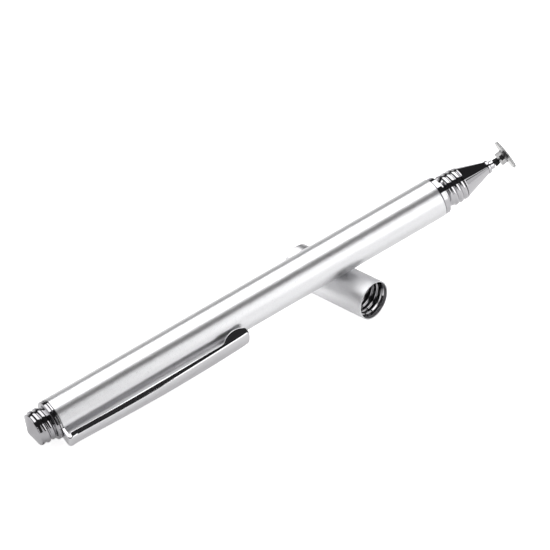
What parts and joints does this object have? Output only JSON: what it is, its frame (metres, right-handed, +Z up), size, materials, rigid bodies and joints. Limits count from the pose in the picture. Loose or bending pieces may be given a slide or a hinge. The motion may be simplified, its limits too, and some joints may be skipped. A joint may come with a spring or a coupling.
{
  "type": "disc stylus pen",
  "caption": "Metal touch-screen pen with a clear tilting disc tip and a pocket clip, lying with its nose propped on its own screw cap.",
  "frame": {"origin": "centre of the footprint, on the surface that the pen and its cap lie on", "axes": "+Z up; +X from the tail towards the disc; the cap's axis lies along Y with its mouth towards -Y"},
  "size_m": [0.1178, 0.04, 0.0228],
  "materials": {
    "satin_aluminium": "satin silver, fine blasted and clear-coated",
    "chrome": "bright polished plating",
    "brass": "turned, bare",
    "black_plastic": "moulded, matt black, conductive",
    "clear_plastic": "clear, polished",
    "dark_contact": "dark conductive face",
    "pad": "soft foam rubber, matt"
  },
  "bodies": {
    "pen_body": {"barrel": "satin_aluminium", "tail_plug": "chrome", "rear_bush": "brass", "clip_ring": "chrome", "front_bush": "brass", "front_insert": "chrome", "nose_cone": "chrome", "tip_ring": "chrome", "ball_stud": "chrome"},
    "clip": {"clip_arm": "chrome"},
    "cap": {"cap_tube": "satin_aluminium", "cap_thread_insert": "chrome", "cap_end_plug": "chrome", "cap_pad": "pad"},
    "seat": {"ball_seat": "black_plastic"},
    "socket": {"conductive_socket": "black_plastic"},
    "disc": {"disc_hub": "clear_plastic", "disc_plate": "clear_plastic", "contact_plate": "dark_contact", "disc_film": "clear_plastic"}
  },
  "joints": [
    {"name": "clip_flex", "type": "hinge", "parent": "pen_body", "child": "clip", "pos_m": [-0.05409, 0.01097, 0.00282], "axis": [0.2119, 0.3205, -0.9232], "range_deg": [0, 3.5], "stiffness_Nm_per_rad": 3},
    {"name": "cap_pull", "type": "slide", "parent": "pen_body", "child": "cap", "axis": [0, -1, 0], "range_m": [0, 0.032]},
    {"name": "disc_nod", "type": "hinge", "parent": "pen_body", "child": "seat", "pos_m": [0.05445, -0.0157, 0.01847], "axis": [0.2218, 0.92, 0.3231], "range_deg": [-3.4, 36.6]},
    {"name": "disc_sway", "type": "hinge", "parent": "seat", "child": "socket", "pos_m": [0.05445, -0.0157, 0.01847], "axis": [-0.4665, -0.1908, 0.8637], "range_deg": [-20, 20]},
    {"name": "disc_spin", "type": "hinge", "parent": "socket", "child": "disc", "pos_m": [0.05445, -0.0157, 0.01847], "axis": [0.8563, -0.3423, 0.3868], "continuous": true}
  ]
}
